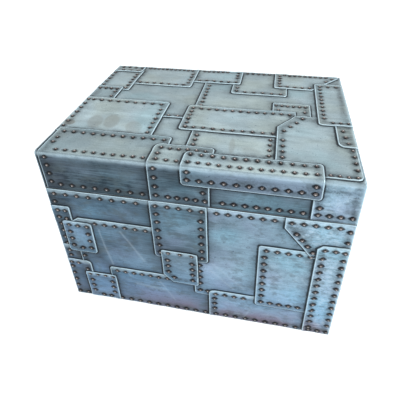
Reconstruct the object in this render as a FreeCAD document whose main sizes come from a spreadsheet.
import FreeCAD, Part
import functools
import math
import os

# Flat-lidded wooden chest clad in lapped sheets of zinc held by domed nails.
# Origin at the centre of the base on the floor, +X to the right, the front at -Y, +Z up.

os.makedirs("parts", exist_ok=True)
doc = FreeCAD.newDocument("PatchworkTrunk")

# Driving dimensions, in millimetres
DRIVING_SIZES = {
    "case_width": 560,
    "case_depth": 400,
    "case_height": 400,
    "body_height": 315,
    "seam_gap": 1,
    "board_thickness": 12,
    "sheet_thickness": 0.8,
    "clad_depth": 1.6,
    "floor_gap": 0.5,
    "edge_round": 5,
    "round_small": 6,
    "round_medium": 8.5,
    "round_large": 13,
    "round_fold": 16,
    "nail_head": 7.6,
    "nail_rise": 2.4,
    "nail_inset": 12,
    "rim_inset": 7,
    "hinge_offset": 150,
    "hinge_length": 60,
    "leaf_height": 32,
    "leaf_thickness": 1.5,
    "barrel_diameter": 8,
    "pin_diameter": 4,
    "pin_clearance": 0.05,
    "hinge_clearance": 0.3,
    "screw_head": 6,
    "screw_rise": 0.8,
    "screw_inset": 8,
}
sheet = doc.addObject("Spreadsheet::Sheet", "Sizes")
for row, (alias, value) in enumerate(DRIVING_SIZES.items(), start=1):
    sheet.set(f"A{row}", alias)
    sheet.set(f"B{row}", str(value))
    sheet.setAlias(f"B{row}", alias)
doc.recompute()

# Lengths that follow from the driving dimensions, written as expressions
CASE_WIDTH = "Sizes.case_width"
CASE_DEPTH = "Sizes.case_depth"
SHEET = "Sizes.sheet_thickness"
BOARD = "Sizes.board_thickness"
CORE_WIDTH = "(Sizes.case_width - 2 * Sizes.clad_depth)"
CORE_DEPTH = "(Sizes.case_depth - 2 * Sizes.clad_depth)"
CORE_TOP = "(Sizes.case_height - Sizes.clad_depth)"
LID_BOTTOM = "(Sizes.body_height + Sizes.seam_gap)"
LID_HEIGHT = "(Sizes.case_height - Sizes.body_height - Sizes.seam_gap)"
LID_CORE_HEIGHT = f"({CORE_TOP} - {LID_BOTTOM})"
BODY_SHEET_HEIGHT = "(Sizes.body_height - Sizes.floor_gap)"
TOP_FOLD = "(Sizes.clad_depth + Sizes.edge_round)"
FRONT_FOLD = f"({LID_CORE_HEIGHT} - Sizes.edge_round)"
BARREL_Y = f"({CORE_DEPTH} / 2 + {SHEET} + Sizes.hinge_clearance + Sizes.barrel_diameter / 2)"
BARREL_Z = "(Sizes.body_height + Sizes.seam_gap / 2)"

X = FreeCAD.Vector(1, 0, 0)
Y = FreeCAD.Vector(0, 1, 0)
Z = FreeCAD.Vector(0, 0, 1)
nodes = {}


@functools.cache
def length(text):
    """The value in millimetres of an expression over the sheet of sizes."""
    return float(sheet.evalExpression(text))


def bind(thing, **expressions):
    """Ties properties of an object to expressions over the sheet."""
    for prop, text in expressions.items():
        thing.setExpression(prop.replace("__", "."), text)


def place(thing, x, y, z):
    """Ties an object's place to three expressions."""
    bind(thing, Placement__Base__x=x, Placement__Base__y=y, Placement__Base__z=z)


def node(name, thing):
    """Names an object as one piece of the trunk."""
    thing.Label = name
    nodes[name] = thing
    return thing


def fused(name, things):
    """One solid from several, or the single one itself."""
    if len(things) == 1:
        return things[0]
    result = doc.addObject("Part::MultiFuse", name)
    result.Shapes = things
    result.Refine = True
    return result


def cut(name, base, tool):
    """The base with the tool taken out of it."""
    result = doc.addObject("Part::Cut", name)
    result.Base = base
    result.Tool = tool
    result.Refine = True
    return result


def grouped(name, things):
    """A node that holds several separate solids."""
    result = doc.addObject("Part::Compound", name)
    result.Links = things
    return node(name, result)


# Wooden carcass of the chest and of the lid

def board(name, x_size, y_size, z_size, x, y, z):
    """A board with its lowest corner at x, y, z."""
    box = doc.addObject("Part::Box", name)
    bind(box, Length=x_size, Width=y_size, Height=z_size)
    place(box, x, y, z)
    return box


def four_walls(prefix, height, bottom):
    """Front and back boards over the full width, with the end boards between them."""
    left = f"-{CORE_WIDTH} / 2"
    front = f"-{CORE_DEPTH} / 2"
    inner_depth = f"{CORE_DEPTH} - 2 * {BOARD}"
    inner_front = f"{front} + {BOARD}"
    walls = {
        "front": (CORE_WIDTH, BOARD, left, front),
        "back": (CORE_WIDTH, BOARD, left, f"{CORE_DEPTH} / 2 - {BOARD}"),
        "left": (BOARD, inner_depth, left, inner_front),
        "right": (BOARD, inner_depth, f"{CORE_WIDTH} / 2 - {BOARD}", inner_front),
    }
    for side, (x_size, y_size, x, y) in walls.items():
        name = f"{prefix}_{side}_board"
        node(name, board(name, x_size, y_size, height, x, y, bottom))


bottom_board = board("body_bottom_board", CORE_WIDTH, CORE_DEPTH, BOARD,
                     f"-{CORE_WIDTH} / 2", f"-{CORE_DEPTH} / 2", "0")
node("body_bottom_board", bottom_board)
four_walls("body", f"Sizes.body_height - {BOARD}", BOARD)
four_walls("lid", f"{LID_CORE_HEIGHT} - {BOARD}", LID_BOTTOM)

# The lid's top board has its front edge rounded, so that sheets can fold over it
top_blank = board("lid_top_blank", CORE_WIDTH, CORE_DEPTH, BOARD,
                  f"-{CORE_WIDTH} / 2", f"-{CORE_DEPTH} / 2", f"{CORE_TOP} - {BOARD}")
doc.recompute()
front_edge_place = FreeCAD.Vector(0, length(f"-{CORE_DEPTH} / 2"), length(CORE_TOP))
top_board = doc.addObject("Part::Fillet", "lid_top_board")
top_board.Base = top_blank
top_board.Edges = [
    (index, length("Sizes.edge_round"), length("Sizes.edge_round"))
    for index, edge in enumerate(top_blank.Shape.Edges, start=1)
    if (edge.CenterOfMass - front_edge_place).Length < length(SHEET)
]
node("lid_top_board", top_board)

# Faces that carry sheets: origin, direction to the right, direction up, width and height.
# Seen from outside, u runs to the right and v upwards, and the sheets are stacked outwards.
HALF_WIDTH = f"{CASE_WIDTH} / 2"
HALF_CORE_WIDTH = f"{CORE_WIDTH} / 2"
HALF_CORE_DEPTH = f"{CORE_DEPTH} / 2"
FLOOR = "Sizes.floor_gap"
FACES = {
    "front": ((f"-{HALF_WIDTH}", f"-{HALF_CORE_DEPTH}", FLOOR), X, Z, CASE_WIDTH, BODY_SHEET_HEIGHT),
    "back": ((HALF_WIDTH, HALF_CORE_DEPTH, FLOOR), -X, Z, CASE_WIDTH, BODY_SHEET_HEIGHT),
    "left": ((f"-{HALF_CORE_WIDTH}", HALF_CORE_DEPTH, FLOOR), -Y, Z, CORE_DEPTH, BODY_SHEET_HEIGHT),
    "right": ((HALF_CORE_WIDTH, f"-{HALF_CORE_DEPTH}", FLOOR), Y, Z, CORE_DEPTH, BODY_SHEET_HEIGHT),
    "lid_front": ((f"-{HALF_WIDTH}", f"-{HALF_CORE_DEPTH}", LID_BOTTOM), X, Z, CASE_WIDTH, FRONT_FOLD),
    "lid_back": ((HALF_WIDTH, HALF_CORE_DEPTH, LID_BOTTOM), -X, Z, CASE_WIDTH, LID_CORE_HEIGHT),
    "lid_left": ((f"-{HALF_CORE_WIDTH}", HALF_CORE_DEPTH, LID_BOTTOM), -Y, Z, CORE_DEPTH, LID_CORE_HEIGHT),
    "lid_right": ((HALF_CORE_WIDTH, f"-{HALF_CORE_DEPTH}", LID_BOTTOM), Y, Z, CORE_DEPTH, LID_CORE_HEIGHT),
    "lid_top": ((f"-{HALF_WIDTH}", f"-{CASE_DEPTH} / 2", CORE_TOP), X, Y, CASE_WIDTH, CASE_DEPTH),
    "lid_fold": ((f"-{HALF_WIDTH}", f"-{HALF_CORE_DEPTH}", CORE_TOP), X, Z, CASE_WIDTH, "Sizes.edge_round"),
}
stacks = {face: [] for face in FACES}
nail_places = {"body_nails": [], "lid_nails": []}


def place_on_face(thing, face, u, v, turned=False):
    """Stands an object on a face, X to the right, Y upwards and Z outwards, or turned half round."""
    origin, right, up, _, _ = FACES[face]
    outward = right.cross(up)
    if turned:
        thing.Placement.Rotation = FreeCAD.Rotation(-right, -up, outward, "ZXY")
    else:
        thing.Placement.Rotation = FreeCAD.Rotation(right, up, outward, "ZXY")
    spots = []
    for start, along_u, along_v in zip(origin, right, up):
        spots.append(f"{start} + ({along_u:.0f}) * ({u}) + ({along_v:.0f}) * ({v})")
    place(thing, *spots)


def on_face(face, u, v, rise):
    """The point of space at u, v on a face, raised from it."""
    origin, right, up, _, _ = FACES[face]
    start = FreeCAD.Vector(*(length(text) for text in origin))
    return start + right * u + up * v + right.cross(up) * rise


def overlap(first, second):
    """The rectangle that two rectangles share, or None if they share less than a sheet's thickness."""
    left = max(first[0], second[0], key=length)
    right = min(first[1], second[1], key=length)
    low = max(first[2], second[2], key=length)
    high = min(first[3], second[3], key=length)
    least = length(SHEET)
    if length(right) - length(left) < least or length(high) - length(low) < least:
        return None
    return (left, right, low, high)


def grown(area):
    """A rectangle with a margin of one sheet all round, where an upper sheet bends down."""
    left, right, low, high = area
    return (f"({left} - {SHEET})", f"({right} + {SHEET})", f"({low} - {SHEET})", f"({high} + {SHEET})")


def holds(outer, inner):
    """Whether one rectangle holds another."""
    fits_u = length(outer[0]) <= length(inner[0]) and length(inner[1]) <= length(outer[1])
    fits_v = length(outer[2]) <= length(inner[2]) and length(inner[3]) <= length(outer[3])
    return fits_u and fits_v


def stepped_layers(bounds, under):
    """Rectangles of a sheet with how many sheets high each stands: one more than what lies under it."""
    layers = [(bounds, 1)]
    for lower in under:
        for area, count in lower["layers"]:
            shared = overlap(bounds, grown(area))
            if shared:
                layers.append((shared, count + 1))
    kept = []
    for area, count in sorted(layers, key=lambda layer: -layer[1]):
        if not any(count <= higher and holds(other, area) for other, higher in kept):
            kept.append((area, count))
    return kept


def sheet_block(name, face, area, count):
    """A block over one rectangle of a face, or over one stretch of the rounded edge."""
    left, right, low, high = area
    if face == "lid_fold":
        outer = doc.addObject("Part::Cylinder", f"{name}_outer")
        inner = doc.addObject("Part::Cylinder", f"{name}_inner")
        bind(outer, Radius=f"Sizes.edge_round + {count} * {SHEET}")
        bind(inner, Radius="Sizes.edge_round")
        for tube in (outer, inner):
            tube.Angle = 90
            bind(tube, Height=f"{right} - {left}")
            tube.Placement.Rotation = FreeCAD.Rotation(-Y, Z, -X, "ZXY")
            place(tube, f"-{HALF_WIDTH} + {right}", f"-{HALF_CORE_DEPTH} + Sizes.edge_round",
                  f"{CORE_TOP} - Sizes.edge_round")
        return cut(name, outer, inner)
    box = doc.addObject("Part::Box", name)
    bind(box, Length=f"{right} - {left}", Width=f"{high} - {low}", Height=f"{count} * {SHEET}")
    place_on_face(box, face, left, low)
    return box


def corner_edges(shape, face, spots):
    """Numbers of the edges that stand square to a face at the given corners."""
    outward = FACES[face][1].cross(FACES[face][2])
    found = []
    for index, edge in enumerate(shape.Edges, start=1):
        ends = edge.Vertexes[-1].Point - edge.Vertexes[0].Point
        for u, v in spots:
            across = edge.CenterOfMass - on_face(face, u, v, 0)
            across = across - outward * across.dot(outward)
            if ends.cross(outward).Length < length(SHEET) / 2 and across.Length < length(SHEET) / 2:
                found.append(index)
    return found


# A rounded corner takes up at most this share of the sheet's shorter side
ROUND_SHARE = 0.45


def shaped_corners(name, face, block, bounds, corners, count):
    """Rounds or clips corners of a block. A corner is a named radius, or two shares of the sheet's sides."""
    left, right, low, high = bounds
    wide = f"({right} - {left})"
    tall = f"({high} - {low})"
    for number, (corner, (along_share, up_share)) in enumerate(
            (item for item in corners.items() if isinstance(item[1], tuple))):
        along = f"{along_share} * {wide}"
        rise = f"{up_share} * {tall}"
        tool = doc.addObject("Part::Wedge", f"{name}_clip{number}")
        point = "0" if corner in ("bottom_left", "top_right") else along
        bind(tool, Xmin="0", Xmax=along, X2min=point, X2max=point, Ymin="0", Ymax=rise,
             Zmin="0", Zmax=f"{count} * {SHEET}", Z2min="0", Z2max=f"{count} * {SHEET}")
        starts = {"bottom_left": (left, low), "bottom_right": (f"{right} - {along}", low),
                  "top_left": (f"{left} + {along}", high), "top_right": (right, high)}
        place_on_face(tool, face, *starts[corner], turned=corner.startswith("top"))
        block = cut(f"{name}_clipped{number}", block, tool)
    rounded = [(corner, radius) for corner, radius in corners.items() if isinstance(radius, str)]
    if not rounded:
        return block
    doc.recompute()
    edges = []
    most = ROUND_SHARE * min(length(wide), length(tall))
    for corner, radius in rounded:
        spot = (length(left if corner.endswith("left") else right),
                length(high if corner.startswith("top") else low))
        bend = min(length(f"Sizes.{radius}"), most)
        for index in corner_edges(block.Shape, face, [spot]):
            edges.append((index, bend, bend))
    result = doc.addObject("Part::Fillet", f"{name}_rounded")
    result.Base = block
    result.Edges = edges
    return result


def nail_row(face, bounds, row):
    """Evenly spaced nails along one side of a sheet or a slanting line, save where one stands already."""
    left, right, low, high = (length(text) for text in bounds)
    side, *shares, count = row
    if side == "line":
        from_u, from_v, to_u, to_v = shares
    else:
        first, last = shares
        inset = length("Sizes.rim_inset" if side.startswith("rim_") else "Sizes.nail_inset")
        inset_u = inset / (right - left)
        inset_v = inset / (high - low)
        edge = side.replace("rim_", "")
        steady = {"left": inset_u, "right": 1 - inset_u, "bottom": inset_v, "top": 1 - inset_v}[edge]
        across = edge in ("bottom", "top")
        from_u, to_u = (first, last) if across else (steady, steady)
        from_v, to_v = (steady, steady) if across else (first, last)
    for step in range(count):
        part = step / (count - 1) if count > 1 else 0
        u = left + (right - left) * (from_u + (to_u - from_u) * part)
        v = low + (high - low) * (from_v + (to_v - from_v) * part)
        places = nail_places["lid_nails" if face.startswith("lid") else "body_nails"]
        if all(face != other or math.hypot(u - near_u, v - near_v) > length("Sizes.nail_head")
               for other, near_u, near_v in places):
            places.append((face, u, v))


def lay_sheet(name, face, bounds, corners, rows):
    """Lays one sheet on a face: flat on the wood, and stepped up over each sheet that lies under it."""
    under = [lower for lower in stacks[face] if overlap(bounds, lower["bounds"])]
    layers = stepped_layers(bounds, under)
    most = max(count for _, count in layers)
    blocks = []
    for number, (area, count) in enumerate(layers):
        blocks.append(sheet_block(f"{name}_step{number}", face, area, count))
    solid = fused(f"{name}_steps", blocks)
    if corners:
        blank = sheet_block(f"{name}_blank", face, bounds, most)
        outline = shaped_corners(name, face, blank, bounds, corners, most)
        if len(layers) == 1:
            solid = outline
        else:
            common = doc.addObject("Part::Common", f"{name}_trimmed")
            common.Base = solid
            common.Tool = outline
            solid = common
    if under:
        solid = cut(f"{name}_seated", solid, fused(f"{name}_under", [lower["solid"] for lower in under]))
    stacks[face].append({"bounds": bounds, "layers": layers, "solid": solid})
    for row in rows:
        nail_row(face, bounds, row)
    return solid


def bounds_from_shares(face, shares):
    """Left, right, bottom and top of a sheet, from shares of the face's width and height."""
    wide, tall = FACES[face][3:]
    left, right, low, high = shares
    return (f"{left} * {wide}", f"{right} * {wide}", f"{low} * {tall}", f"{high} * {tall}")


def lay_sheets(face, sheet_shares):
    """Lays a face's sheets in order, the lowest first, each as a node of its own."""
    for name, (shares, corners, rows) in sheet_shares.items():
        node(name, lay_sheet(name, face, bounds_from_shares(face, shares), corners, rows))


def lay_group(name, face, group_shares):
    """Lays the sheets of a plain face, all in one node."""
    solids = []
    for number, (shares, corners, rows) in enumerate(group_shares):
        solids.append(lay_sheet(f"{name}_{number}", face, bounds_from_shares(face, shares), corners, rows))
    return solids


# Sheets on the front of the chest, in the order they were nailed on.
# Each has its sides as shares of the face, its shaped corners and its rows of nails: the side, where the
# row starts and ends along it, and how many. A rim row lies closer to the edge.
SMALL_TOP = {"top_left": "round_small", "top_right": "round_small"}
MEDIUM_ALL = {corner: "round_medium" for corner in ("top_left", "top_right", "bottom_left", "bottom_right")}
front_shares = {
    "front_upper_left_band": ((0.000, 0.384, 0.730, 1.000), {},
                              [("top", 0.07, 0.83, 8), ("left", 0.62, 0.62, 1)]),
    "front_left_edge_upper": ((0.000, 0.070, 0.489, 0.867), {"top_right": "round_small"},
                              [("top", 0.33, 0.72, 2), ("left", 0.74, 0.11, 5), ("right", 0.72, 0.72, 1)]),
    "front_left_edge_lower": ((0.000, 0.071, 0.349, 0.521), {}, [("left", 0.65, 0.37, 2)]),
    "front_middle_left_sheet": ((0.066, 0.521, 0.238, 0.784), {"top_left": (0.06, 0.064)},
                                [("top", 0.19, 0.60, 6), ("rim_left", 0.35, 0.35, 1)]),
    "front_bottom_left_sheet": ((0.173, 0.575, 0.000, 0.359), {"top_left": "round_medium"},
                                [("top", 0.07, 0.56, 7), ("rim_bottom", 0.06, 0.91, 10)]),
    "front_bottom_left_corner": ((0.000, 0.098, 0.000, 0.378), {"top_right": "round_large"},
                                 [("rim_left", 0.78, 0.06, 5), ("top", 0.14, 0.44, 2),
                                  ("right", 0.77, 0.77, 1), ("rim_bottom", 0.50, 0.50, 1)]),
    "front_bottom_small_patch": ((0.064, 0.191, 0.000, 0.267), SMALL_TOP,
                                 [("rim_top", 0.14, 0.89, 4), ("left", 0.67, 0.25, 3),
                                  ("right", 0.70, 0.27, 3), ("rim_bottom", 0.42, 0.68, 2)]),
    "front_right_large_sheet": ((0.502, 0.920, 0.222, 1.000), {"bottom_left": "round_medium"},
                                [("top", 0.20, 0.63, 6), ("left", 0.36, 0.14, 4),
                                 ("bottom", 0.05, 0.115, 2)]),
    "front_bottom_right_sheet": ((0.554, 0.920, 0.000, 0.279), {"top_left": "round_large"},
                                 [("top", 0.07, 0.35, 4), ("left", 0.68, 0.31, 3),
                                  ("rim_bottom", 0.07, 0.89, 9)]),
    "front_right_tall_patch": ((0.723, 0.920, 0.200, 0.756),
                               {"top_left": "round_small", "bottom_left": "round_medium"},
                               [("top", 0.13, 0.84, 5), ("left", 0.83, 0.18, 7), ("bottom", 0.11, 0.77, 5)]),
    "front_left_small_patch": ((0.027, 0.138, 0.470, 0.746), MEDIUM_ALL,
                               [("top", 0.21, 0.82, 3), ("left", 0.64, 0.20, 3),
                                ("right", 0.62, 0.16, 3), ("bottom", 0.50, 0.50, 1)]),
    "front_centre_tall_patch": ((0.363, 0.555, 0.533, 1.000),
                                {"bottom_left": "round_medium", "bottom_right": "round_medium"},
                                [("left", 0.92, 0.09, 7), ("top", 0.32, 0.91, 4), ("right", 0.755, 0.08, 6)]),
    "front_centre_small_patch": ((0.386, 0.518, 0.302, 0.600),
                                 {"top_left": "round_small", "top_right": "round_small",
                                  "bottom_right": "round_small", "bottom_left": (0.27, 0.23)},
                                 [("rim_top", 0.20, 0.84, 3), ("left", 0.69, 0.32, 3),
                                  ("right", 0.67, 0.14, 4), ("line", 0.31, 0.16, 0.31, 0.16, 1)]),
    "front_upper_right_gusset": ((0.796, 1.000, 0.711, 1.000), {"bottom_left": (0.46, 0.72)},
                                 [("top", 0.10, 0.79, 5), ("rim_right", 0.80, 0.52, 2),
                                  ("line", 0.19, 0.59, 0.47, 0.15, 4)]),
    "front_right_edge_strip": ((0.902, 1.000, 0.000, 0.822), {"top_left": (0.16, 0.035)},
                               [("top", 0.25, 0.58, 2), ("left", 0.87, 0.06, 12),
                                ("rim_right", 0.95, 0.11, 12), ("rim_bottom", 0.24, 0.89, 3)]),
}
lay_sheets("front", front_shares)

def folded(name, sides_shares, reach_shares, top_corners, front_corners, top_rows, front_rows):
    """A sheet that covers part of the lid's top, folds over the rounded edge and runs down the front."""
    left, right = (f"{share} * {CASE_WIDTH}" for share in sides_shares)
    top_reach, front_reach = reach_shares
    legs = {
        "lid_top": ((left, right, TOP_FOLD, f"{top_reach} * {CASE_DEPTH}"), top_corners, top_rows),
        "lid_fold": ((left, right, "0", "Sizes.edge_round"), {}, []),
        "lid_front": ((left, right, f"{front_reach} * {LID_HEIGHT}", FRONT_FOLD), front_corners, front_rows),
    }
    return fused(name, [lay_sheet(f"{name}_{face}", face, *leg) for face, leg in legs.items()])


def fold_sheet(name, *shape):
    """A folded sheet as a node of its own."""
    node(name, folded(name, *shape))


# The edge that the sheets of the lid's left end return on to its front and top lies under all others there
end_return = folded("lid_end_return", (0.000, 0.025), (0.200, 0.000), {}, {}, [], [])

# Sheets on the top of the lid, up to where the folded ones lie over them
top_shares = {
    "top_middle_ground_sheet": ((0.321, 0.518, 0.100, 0.413), {}, []),
    "top_left_ground_sheet": ((0.000, 0.468, 0.383, 0.850), {}, [("rim_bottom", 0.775, 0.847, 2)]),
    "top_right_ground_sheet": ((0.441, 1.000, 0.325, 1.000), {}, [("left", 0.67, 0.31, 7)]),
    "top_back_right_middle_sheet": ((0.559, 0.780, 0.695, 1.000),
                                    {"bottom_left": "round_medium", "bottom_right": "round_medium"},
                                    [("left", 0.25, 0.115, 2), ("bottom", 0.25, 0.89, 5),
                                     ("rim_top", 0.22, 0.65, 5)]),
    "top_back_middle_patch": ((0.375, 0.589, 0.813, 1.000), {"bottom_right": "round_small"},
                              [("bottom", 0.17, 0.90, 6), ("rim_top", 0.18, 0.67, 6),
                               ("right", 0.87, 0.47, 3)]),
    "top_back_left_sheet": ((0.129, 0.389, 0.738, 1.000), {"bottom_right": "round_medium"},
                            [("rim_top", 0.11, 0.88, 11), ("right", 0.73, 0.24, 4),
                             ("bottom", 0.12, 0.86, 7)]),
    "top_back_right_sheet": ((0.727, 0.991, 0.795, 1.000),
                             {"bottom_left": "round_small", "bottom_right": (0.43, 0.88)},
                             [("left", 0.85, 0.35, 4), ("bottom", 0.09, 0.54, 5), ("rim_top", 0.155, 0.81, 9),
                              ("line", 0.90, 0.82, 0.80, 0.63, 2)]),
    "top_left_edge_upper": ((0.000, 0.141, 0.650, 0.935), {"bottom_right": "round_small"},
                            [("right", 0.79, 0.09, 6), ("rim_left", 0.83, 0.20, 5)]),
    "top_back_left_corner": ((0.000, 0.134, 0.910, 1.000), {"bottom_right": "round_small"},
                             [("rim_top", 0.19, 0.87, 4), ("bottom", 0.27, 0.80, 3)]),
    "top_left_edge_lower": ((0.000, 0.111, 0.500, 0.685), {"top_right": "round_small"},
                            [("top", 0.13, 0.80, 4), ("right", 0.65, 0.36, 2)]),
    "top_left_panel": ((0.000, 0.343, 0.180, 0.538), {"top_right": "round_medium"},
                       [("top", 0.10, 0.91, 9), ("right", 0.755, 0.14, 6), ("rim_left", 0.92, 0.14, 7)]),
    "top_centre_small_patch": ((0.729, 0.866, 0.463, 0.618), SMALL_TOP,
                               [("top", 0.09, 0.87, 6), ("left", 0.50, 0.50, 1), ("right", 0.44, 0.44, 1)]),
    "top_front_middle_patch": ((0.470, 0.764, 0.088, 0.310), {},
                               [("left", 0.70, 0.34, 3), ("line", 0.89, 0.76, 0.89, 0.20, 4)]),
    "top_centre_long_patch": ((0.418, 0.813, 0.280, 0.525),
                              {"top_left": "round_medium", "bottom_left": "round_medium"},
                              [("top", 0.13, 0.945, 12), ("left", 0.88, 0.12, 6), ("bottom", 0.13, 0.81, 9)]),
}
lay_sheets("lid_top", top_shares)


# The flat sheet on the lid's front ends below the rounded edge and lies under all that fold over it
lid_front_shares = {
    "lid_front_flat_sheet": ((0.550, 0.888, 0.000, 0.904031), {}, [("bottom", 0.16, 0.87, 8)]),
}
lay_sheets("lid_front", lid_front_shares)

# The right corner of the lid folds over the front edge, under the sheets that follow it on the top
fold_sheet("lid_right_corner_fold", (0.866, 1.000), (0.275, 0.000), {}, {}, [],
           [("bottom", 0.15, 0.87, 4), ("left", 0.35, 0.35, 1)])
right_shares = {
    "top_front_right_panel": ((0.750, 0.995, 0.020, 0.488),
                              {"top_left": (0.255, 0.25), "bottom_right": "round_large"},
                              [("line", 0.095, 0.68, 0.35, 0.95, 4), ("left", 0.52, 0.24, 4),
                               ("rim_right", 0.44, 0.145, 4), ("rim_bottom", 0.635, 0.935, 4)]),
    "top_right_edge_patch": ((0.941, 1.000, 0.243, 0.438), {"bottom_left": "round_large"},
                             [("line", 0.40, 0.68, 0.55, 0.17, 3)]),
    "top_right_edge_strip": ((0.888, 1.000, 0.418, 0.880),
                             {"bottom_left": "round_medium", "top_left": "round_small"},
                             [("top", 0.20, 0.76, 3), ("left", 0.85, 0.15, 9), ("bottom", 0.44, 0.89, 3)]),
}
lay_sheets("lid_top", right_shares)

# Front of the lid: three folded sheets, over the flat one
fold_sheet("lid_left_fold", (0.011, 0.416), (0.208, 0.000), {"top_right": "round_medium"}, {},
           [("top", 0.065, 0.94, 11), ("left", 0.57, 0.37, 2), ("rim_bottom", 0.13, 0.85, 10)],
           [("bottom", 0.13, 0.83, 8), ("left", 0.95, 0.22, 4)])
fold_sheet("lid_middle_fold", (0.371, 0.565), (0.148, 0.000),
           {"top_left": "round_fold", "top_right": "round_medium"}, {},
           [("top", 0.13, 0.86, 6), ("left", 0.45, 0.45, 1), ("rim_bottom", 0.13, 0.46, 3)],
           [("bottom", 0.31, 0.92, 5), ("left", 0.95, 0.18, 4), ("right", 0.39, 0.39, 1)])
fold_sheet("lid_long_fold", (0.475, 0.890), (0.105, 0.524),
           {"top_left": "round_large", "top_right": "round_medium"},
           {"bottom_left": "round_medium", "bottom_right": "round_medium"},
           [("rim_top", 0.05, 0.95, 12), ("rim_bottom", 0.05, 0.95, 13)],
           [("bottom", 0.05, 0.95, 11), ("left", 0.87, 0.87, 1), ("right", 0.80, 0.80, 1)])

# Plainer sheets on the ends and the back, with clipped corners and wider spaced nails
clipped_shares = {corner: (0.12, 0.14) for corner in MEDIUM_ALL}
side_shares = [
    ((0.00, 0.58, 0.44, 1.00), {}, [("top", 0.05, 0.88, 4), ("rim_left", 0.88, 0.20, 3)]),
    ((0.54, 1.00, 0.50, 1.00), {"bottom_left": (0.07, 0.08)},
     [("top", 0.08, 0.94, 3), ("left", 0.80, 0.20, 3), ("bottom", 0.24, 0.92, 2)]),
    ((0.00, 0.46, 0.00, 0.48), {"top_right": (0.07, 0.08)},
     [("top", 0.06, 0.62, 3), ("rim_left", 0.80, 0.12, 3), ("rim_bottom", 0.10, 0.90, 3)]),
    ((0.42, 1.00, 0.00, 0.54), {"top_left": (0.12, 0.16)},
     [("left", 0.60, 0.12, 3), ("rim_bottom", 0.10, 0.95, 4), ("rim_right", 0.86, 0.12, 3)]),
    ((0.30, 0.55, 0.34, 0.62), clipped_shares,
     [("top", 0.20, 0.80, 3), ("bottom", 0.20, 0.80, 3), ("left", 0.50, 0.50, 1), ("right", 0.50, 0.50, 1)]),
]
lid_side_shares = [
    ((0.00, 0.56, 0.00, 1.00), {}, [("bottom", 0.06, 0.86, 4), ("top", 0.06, 0.86, 4)]),
    ((0.52, 1.00, 0.00, 1.00), {}, [("bottom", 0.18, 0.93, 4), ("top", 0.18, 0.93, 4)]),
]
back_shares = [
    ((0.00, 0.52, 0.52, 1.00), {},
     [("top", 0.06, 0.28, 2), ("top", 0.62, 0.90, 2), ("rim_left", 0.84, 0.24, 3)]),
    ((0.50, 1.00, 0.46, 1.00), {},
     [("top", 0.10, 0.38, 2), ("top", 0.70, 0.95, 2), ("left", 0.80, 0.40, 2), ("rim_right", 0.84, 0.24, 3)]),
    ((0.00, 0.36, 0.00, 0.58), {"top_right": (0.08, 0.09)},
     [("top", 0.07, 0.86, 4), ("rim_left", 0.80, 0.10, 3), ("rim_bottom", 0.10, 0.84, 3)]),
    ((0.33, 0.70, 0.00, 0.50), {"top_left": (0.07, 0.09)},
     [("top", 0.15, 0.92, 4), ("left", 0.78, 0.12, 3), ("rim_bottom", 0.08, 0.86, 3)]),
    ((0.67, 1.00, 0.00, 0.53), {"top_left": (0.20, 0.22)},
     [("top", 0.30, 0.93, 3), ("left", 0.66, 0.12, 3), ("rim_bottom", 0.10, 0.92, 3),
      ("rim_right", 0.76, 0.16, 3)]),
    ((0.43, 0.60, 0.42, 0.68), clipped_shares,
     [("top", 0.20, 0.80, 3), ("bottom", 0.20, 0.80, 3), ("left", 0.50, 0.50, 1), ("right", 0.50, 0.50, 1)]),
]
lid_back_shares = [
    ((0.00, 0.36, 0.00, 1.00), {}, [("rim_top", 0.06, 0.94, 4), ("bottom", 0.06, 0.30, 2)]),
    ((0.34, 0.68, 0.00, 1.00), {},
     [("rim_top", 0.08, 0.92, 4), ("bottom", 0.08, 0.92, 4)]),
    ((0.66, 1.00, 0.00, 1.00), {},
     [("rim_top", 0.08, 0.94, 4), ("bottom", 0.70, 0.94, 2)]),
]
grouped("body_left_sheets", lay_group("body_left_sheet", "left", side_shares))
grouped("body_right_sheets", lay_group("body_right_sheet", "right", side_shares))
grouped("body_back_sheets", lay_group("body_back_sheet", "back", back_shares))
grouped("lid_left_sheets", lay_group("lid_left_sheet", "lid_left", lid_side_shares) + [end_return])
grouped("lid_right_sheets", lay_group("lid_right_sheet", "lid_right", lid_side_shares))
grouped("lid_back_sheets", lay_group("lid_back_sheet", "lid_back", lid_back_shares))

# Nail head: a low five-sided dome, seated on the highest sheet under it
nail_ring = doc.addObject("Part::RegularPolygon", "nail_ring")
nail_ring.Polygon = 5
bind(nail_ring, Circumradius="Sizes.nail_head / 2")
nail_tip = doc.addObject("Part::Vertex", "nail_tip")
bind(nail_tip, Z="Sizes.nail_rise")
nail_head = doc.addObject("Part::Loft", "nail_head")
nail_head.Sections = [nail_ring, nail_tip]
nail_head.Solid = True
nail_head.Ruled = True
doc.recompute()


def seat_height(face, u, v):
    """How high the sheets stand anywhere under a nail head at u, v."""
    reach = length("Sizes.nail_head / 2")
    most = 0
    for laid in stacks[face]:
        for area, count in laid["layers"]:
            left, right, low, high = (length(text) for text in area)
            if left - reach < u < right + reach and low - reach < v < high + reach:
                most = max(most, count)
    return most * length(SHEET)


for name, places in nail_places.items():
    heads = []
    for face, u, v in places:
        head = nail_head.Shape.copy()
        right, up = FACES[face][1:3]
        turn = FreeCAD.Rotation(right, up, right.cross(up), "ZXY")
        head.Placement = FreeCAD.Placement(on_face(face, u, v, seat_height(face, u, v)), turn)
        heads.append(head)
    nails = doc.addObject("Part::Feature", name)
    nails.Shape = Part.makeCompound(heads)
    node(name, nails)
    print(name, len(heads))

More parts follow.
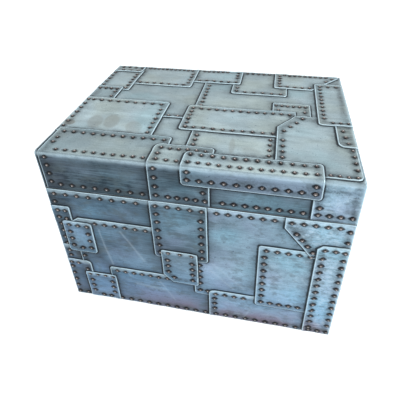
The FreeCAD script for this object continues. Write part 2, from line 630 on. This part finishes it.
# Butt hinges on the back: two knuckles on the chest's leaf and one on the lid's, with a pin through them
KNUCKLES = 3
BARREL_SIDES = 12
SCREW_SIDES = 8
KNUCKLE_PITCH = f"(Sizes.hinge_length / {KNUCKLES})"
LEAF_Y = f"({CORE_DEPTH} / 2 + {SHEET})"
BARREL_REACH = "(Sizes.barrel_diameter / 2 + Sizes.hinge_clearance)"


def rod(name, radius, height, x, y, z, sides=0):
    """A cylinder along X that starts at x, or a prism if a number of sides is given."""
    if sides:
        result = doc.addObject("Part::Prism", name)
        result.Polygon = sides
        bind(result, Circumradius=radius, Height=height)
    else:
        result = doc.addObject("Part::Cylinder", name)
        bind(result, Radius=radius, Height=height)
    result.Placement.Rotation = FreeCAD.Rotation(Y, Z, X, "ZXY")
    place(result, x, y, z)
    return result


def hinge_leaf(name, left, knuckles, upward):
    """A plate on the back with its knuckles rolled round the pin, above or below the pin."""
    plate_height = f"(Sizes.leaf_height - {BARREL_REACH})"
    plate_z = f"{BARREL_Z} + {BARREL_REACH}" if upward else f"{BARREL_Z} - Sizes.leaf_height"
    pieces = [board(f"{name}_plate", "Sizes.hinge_length", "Sizes.leaf_thickness", plate_height,
                    left, LEAF_Y, plate_z)]
    for number in knuckles:
        start = f"{left} + {number} * {KNUCKLE_PITCH} + Sizes.hinge_clearance / 2"
        run = f"{KNUCKLE_PITCH} - Sizes.hinge_clearance"
        pieces.append(rod(f"{name}_knuckle{number}", "Sizes.barrel_diameter / 2", run,
                          start, BARREL_Y, BARREL_Z, BARREL_SIDES))
        tab_z = BARREL_Z if upward else f"{BARREL_Z} - {BARREL_REACH}"
        pieces.append(board(f"{name}_tab{number}", run, "Sizes.leaf_thickness", BARREL_REACH,
                            start, LEAF_Y, tab_z))
    bore = rod(f"{name}_bore", "Sizes.pin_diameter / 2 + Sizes.pin_clearance", "Sizes.hinge_length",
               left, BARREL_Y, BARREL_Z)
    return cut(name, fused(f"{name}_blank", pieces), bore)


def hinge_screws(name, left, upward):
    """Three screw heads on a leaf, two near the far corners and one between them near the barrel."""
    far = "(Sizes.leaf_height - Sizes.screw_inset)"
    near = f"({BARREL_REACH} + Sizes.screw_inset)"
    spots = [("Sizes.screw_inset", far), ("Sizes.hinge_length - Sizes.screw_inset", far),
             ("Sizes.hinge_length / 2", near)]
    heads = []
    for number, (along, away) in enumerate(spots):
        head = doc.addObject("Part::Prism", f"{name}{number}")
        head.Polygon = SCREW_SIDES
        bind(head, Circumradius="Sizes.screw_head / 2", Height="Sizes.screw_rise")
        head.Placement.Rotation = FreeCAD.Rotation(-X, Z, Y, "ZXY")
        height = f"{BARREL_Z} + {away}" if upward else f"{BARREL_Z} - {away}"
        place(head, f"{left} + {along}", f"{LEAF_Y} + Sizes.leaf_thickness", height)
        heads.append(head)
    return heads


chest_leaves = []
lid_leaves = []
pins = []
chest_screws = []
lid_screws = []
for side, centre in (("left", "-Sizes.hinge_offset"), ("right", "Sizes.hinge_offset")):
    left = f"({centre} - Sizes.hinge_length / 2)"
    chest_leaves.append(hinge_leaf(f"{side}_chest_leaf", left, range(0, KNUCKLES, 2), False))
    lid_leaves.append(hinge_leaf(f"{side}_lid_leaf", left, range(1, KNUCKLES, 2), True))
    pins.append(rod(f"{side}_pin", "Sizes.pin_diameter / 2", "Sizes.hinge_length", left, BARREL_Y, BARREL_Z))
    chest_screws += hinge_screws(f"{side}_chest_screw", left, False)
    lid_screws += hinge_screws(f"{side}_lid_screw", left, True)
grouped("hinge_chest_leaves", chest_leaves)
grouped("hinge_lid_leaves", lid_leaves)
grouped("hinge_pins", pins)
grouped("hinge_chest_screws", chest_screws)
grouped("hinge_lid_screws", lid_screws)

# Every object is sound before any file is written
doc.recompute()
for thing in doc.Objects:
    if "Invalid" in thing.State or "Error" in thing.State:
        raise RuntimeError(f"{thing.Label} failed: {thing.State}")
for name, thing in nodes.items():
    if thing.Shape.isNull() or not thing.Shape.isValid():
        raise RuntimeError(f"{name} has no valid shape")
for name, thing in nodes.items():
    thing.Shape.exportStep(f"parts/{name}.step")
print("nodes", len(nodes))
